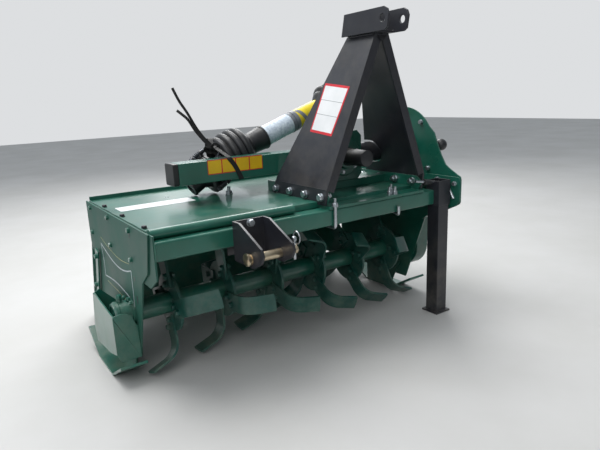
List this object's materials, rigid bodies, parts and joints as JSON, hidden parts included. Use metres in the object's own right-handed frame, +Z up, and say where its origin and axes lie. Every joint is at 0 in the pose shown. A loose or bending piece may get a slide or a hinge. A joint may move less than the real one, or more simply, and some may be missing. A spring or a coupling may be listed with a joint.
{
  "type": "tractor rotary tiller",
  "caption": "Rear-mounted rotary tiller with bent tines, hooded deck, leaning hitch frame, gear side drive, hinged tailboard and parking stand.",
  "frame": {"origin": "centre of the whole outline at floor level", "axes": "+X along the rotor from the free bearing to the side drive, +Y rearward away from the tractor, +Z up"},
  "size_m": [1.436, 1.14, 1.208],
  "materials": {
    "green_paint": "dark green gloss paint",
    "black_paint": "black satin paint",
    "zinc_steel": "bright zinc plate",
    "yellow_zinc": "yellow zinc plate",
    "black_plastic": "black moulded plastic",
    "grey_plastic": "pale wrapped sleeve",
    "yellow_plastic": "yellow guard tube",
    "nylon": "black nylon",
    "cast_black": "black painted cast housing"
  },
  "bodies": {
    "frame": {"arm_end_cap": "black_plastic", "beam_clamps": "zinc_steel", "bearing_guard": "green_paint", "bearing_housing": "green_paint", "drive_tube": "green_paint", "end_plate_left": "green_paint", "end_plate_right": "green_paint", "front_beam": "green_paint", "gearbox": "green_paint", "hitch_bracket": "black_paint", "hitch_clamp": "black_paint", "hitch_pin": "yellow_zinc", "hood_deck": "green_paint", "hood_end_left": "green_paint", "hood_end_right": "green_paint", "hood_rib": "green_paint", "input_shaft_cap": "black_plastic", "mast_left": "black_paint", "mast_right": "black_paint", "mount_bracket": "green_paint", "shaft_bell": "black_plastic", "shaft_bell_far": "black_plastic", "shaft_clutch": "cast_black", "shaft_collar": "black_plastic", "shaft_guard_inner": "yellow_plastic", "shaft_guard_outer": "grey_plastic", "shaft_joint": "zinc_steel", "shaft_strap": "nylon", "shoe_left": "green_paint", "shoe_right": "green_paint", "side_case": "green_paint", "stand_guide": "black_paint", "support_arm": "green_paint", "tail_hinge": "green_paint", "top_clevis": "black_paint"},
    "rotor": {"rotor_pipe": "green_paint", "rotor_flange_1": "green_paint", "rotor_flange_2": "green_paint", "rotor_flange_3": "green_paint", "rotor_flange_4": "green_paint", "rotor_flange_5": "green_paint", "rotor_flange_6": "green_paint"},
    "tailboard": {"tailboard": "green_paint"},
    "parking_stand": {"parking_stand": "black_paint"}
  },
  "joints": [
    {"name": "rotor_spin", "type": "hinge", "parent": "frame", "child": "rotor", "pos_m": [0, -0.113, 0.24], "axis": [1, 0, 0], "continuous": true},
    {"name": "tailboard_lift", "type": "hinge", "parent": "frame", "child": "tailboard", "pos_m": [0, 0.378, 0.536], "axis": [1, 0, 0], "range_deg": [0, 55]},
    {"name": "stand_slide", "type": "slide", "parent": "frame", "child": "parking_stand", "axis": [0, 0, 1], "range_m": [0, 0.26]}
  ]
}
